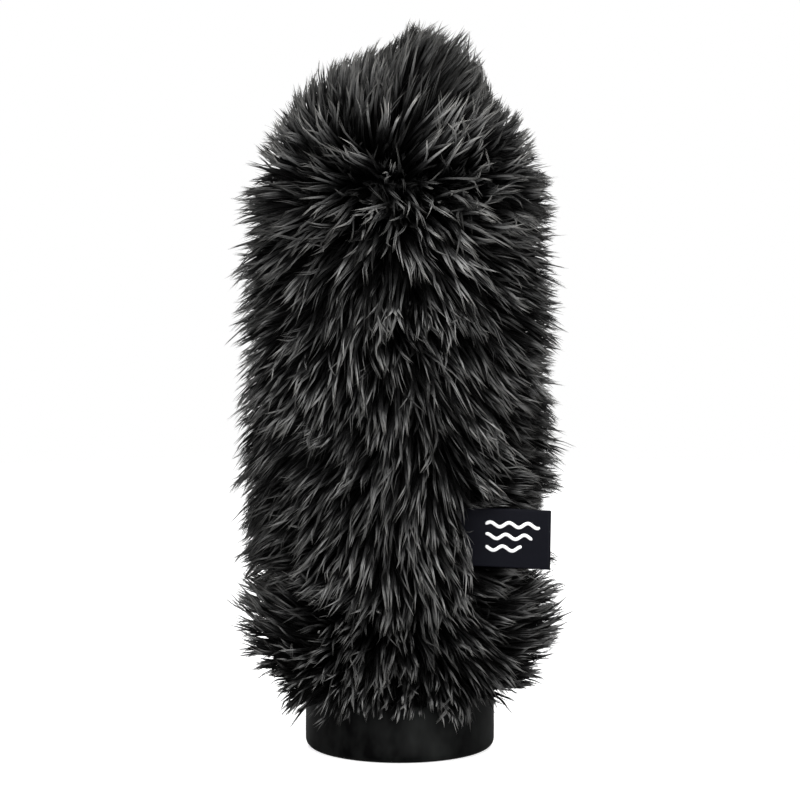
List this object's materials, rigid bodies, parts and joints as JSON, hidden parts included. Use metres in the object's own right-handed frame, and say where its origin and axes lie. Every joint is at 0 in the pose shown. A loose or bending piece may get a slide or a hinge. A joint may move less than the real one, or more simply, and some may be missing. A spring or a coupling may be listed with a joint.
{
  "type": "furry windscreen",
  "caption": "Long-pile furry windscreen that slips over a shotgun microphone, with a rubber base cup, a foam core and a fur cover that pulls off.",
  "frame": {"origin": "centre of the base cup's flat bottom face, on the microphone bore's axis, which is the bottom centre of the bounding box", "axes": "+Z along the bore from the cup towards the domed nose, which is the longest extent; -Y is the front, the side that the label's face looks to; +X is to the right seen from the front"},
  "size_m": [0.0896, 0.0896, 0.202],
  "materials": {
    "cup_rubber": "moulded soft-touch rubber, satin",
    "grip_rubber": "soft matte silicone",
    "collar_nylon": "moulded nylon, matte",
    "foam": "open-cell reticulated foam",
    "sock_knit": "fine stretch knit",
    "elastic": "ribbed woven elastic",
    "fur": "long-pile synthetic fur, near black with grey highlights",
    "seam_tape": "woven twill tape",
    "lining_knit": "smooth warp knit",
    "label_weave": "damask woven label",
    "thread": "bar-tacked polyester thread"
  },
  "bodies": {
    "core": {"base_cup": "cup_rubber", "grip_sleeve": "grip_rubber", "core_collar": "collar_nylon", "foam_core": "foam", "foam_nose": "foam", "core_sock": "sock_knit", "sock_band": "elastic"},
    "fur_cover": {"fur_body_panel": "fur", "fur_crown_panel": "fur", "fur_skirt_panel": "fur", "waist_seam_tape": "seam_tape", "crown_seam_tape": "seam_tape", "side_seam_tape_body": "seam_tape", "side_seam_tape_skirt": "seam_tape", "cover_lining": "lining_knit", "hem_binding": "seam_tape", "hem_elastic": "elastic"},
    "label": {"side_label": "label_weave", "label_tack_lower": "thread", "label_tack_upper": "thread"}
  },
  "joints": [
    {"name": "cover_pull_off", "type": "slide", "parent": "core", "child": "fur_cover", "axis": [0, 0, 1], "range_m": [0, 0.19]},
    {"name": "label_flap", "type": "hinge", "parent": "fur_cover", "child": "label", "pos_m": [0.01526, -0.02395, 0.06405], "axis": [0, 0, 1], "range_deg": [-45, 10]}
  ]
}
